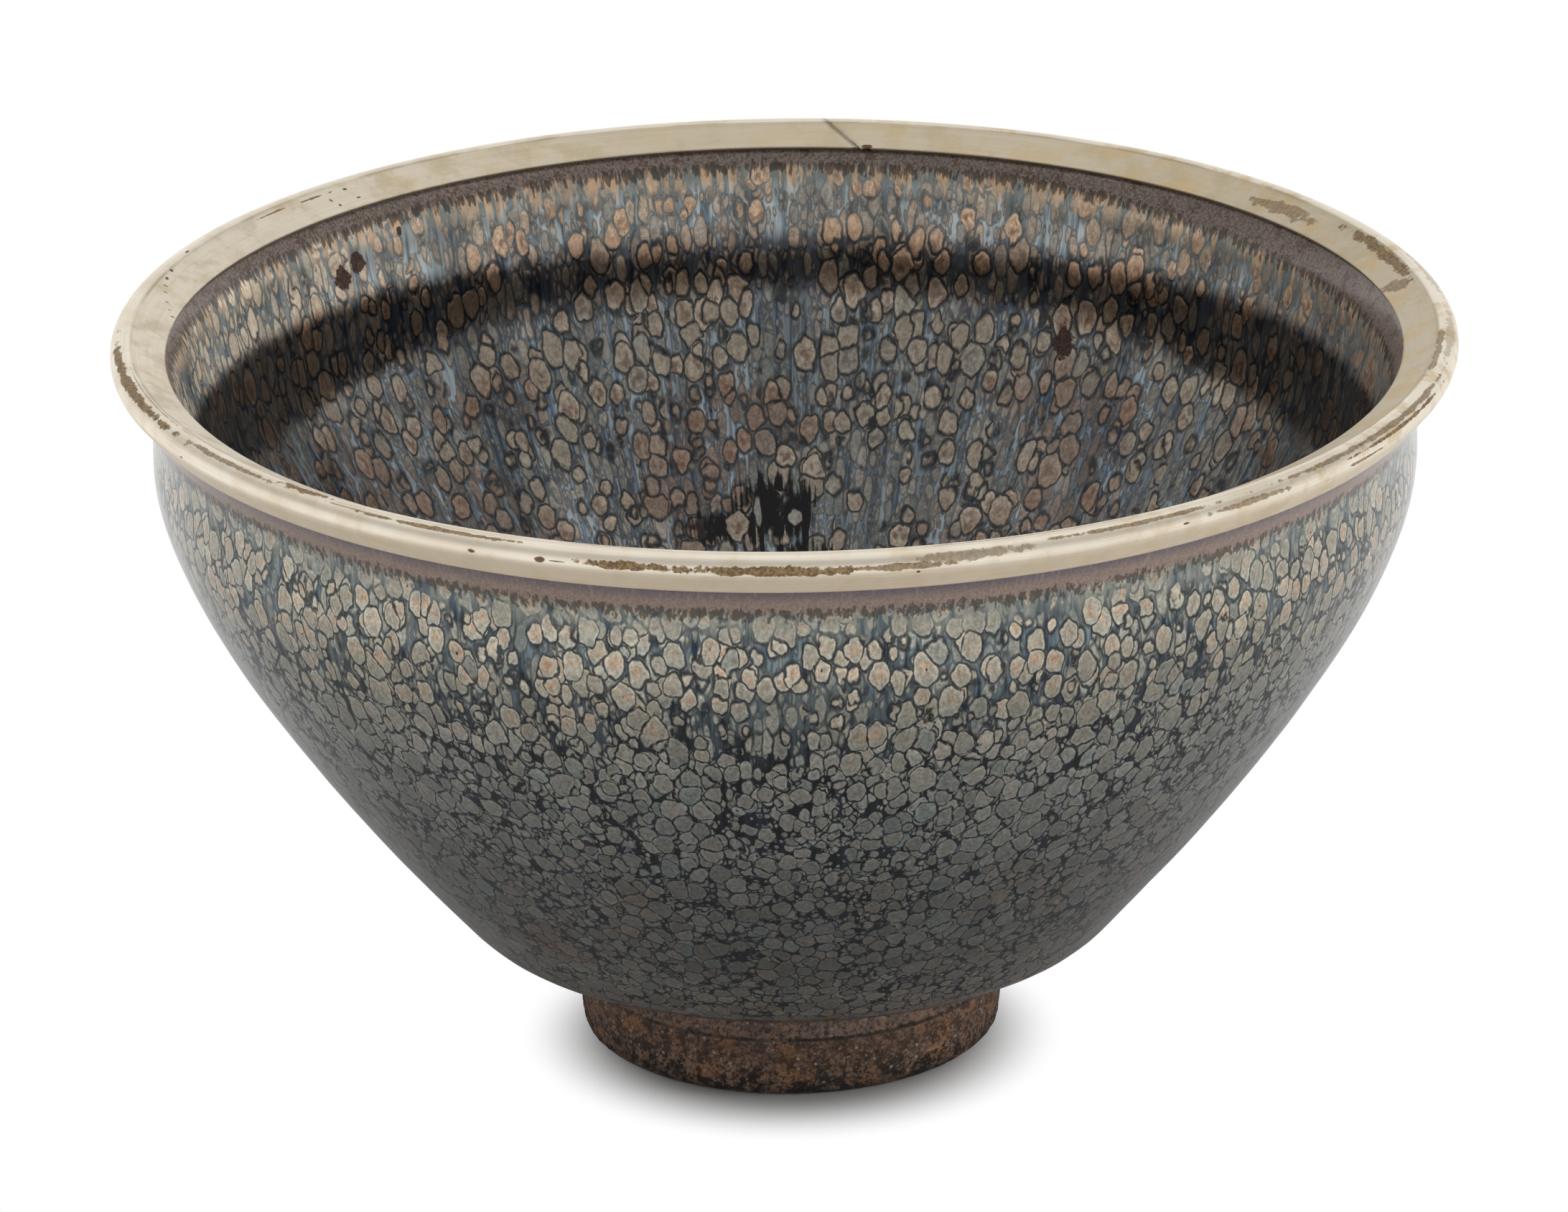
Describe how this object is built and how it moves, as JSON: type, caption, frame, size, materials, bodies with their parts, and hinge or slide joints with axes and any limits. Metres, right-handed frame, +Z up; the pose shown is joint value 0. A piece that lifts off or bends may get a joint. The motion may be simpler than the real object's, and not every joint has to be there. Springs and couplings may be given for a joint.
{
  "type": "tea bowl",
  "caption": "Tenmoku tea bowl: a steep round stoneware bowl on a small foot ring, with an oil-spot iron glaze and a metal band bedded on its lip.",
  "frame": {"origin": "centre of the foot ring's standing face, on the surface that the bowl stands on", "axes": "+Z up along the bowl's axis of revolution; +Y towards the seam of the rim band; -Y towards the viewer of the picture"},
  "size_m": [0.122, 0.122, 0.0684],
  "materials": {
    "stoneware": "unglazed, rough, dark brown with rust and grit",
    "glaze": "glossy black-brown iron glaze with silvery grey-green oil spots",
    "lacquer": "dark natural lacquer",
    "band_metal": "pale worn gilt silver, satin, brushed round the rim"
  },
  "bodies": {
    "root": {"stoneware_body": "stoneware", "glaze_coat": "glaze", "rim_lacquer": "lacquer", "rim_band": "band_metal"}
  },
  "joints": []
}
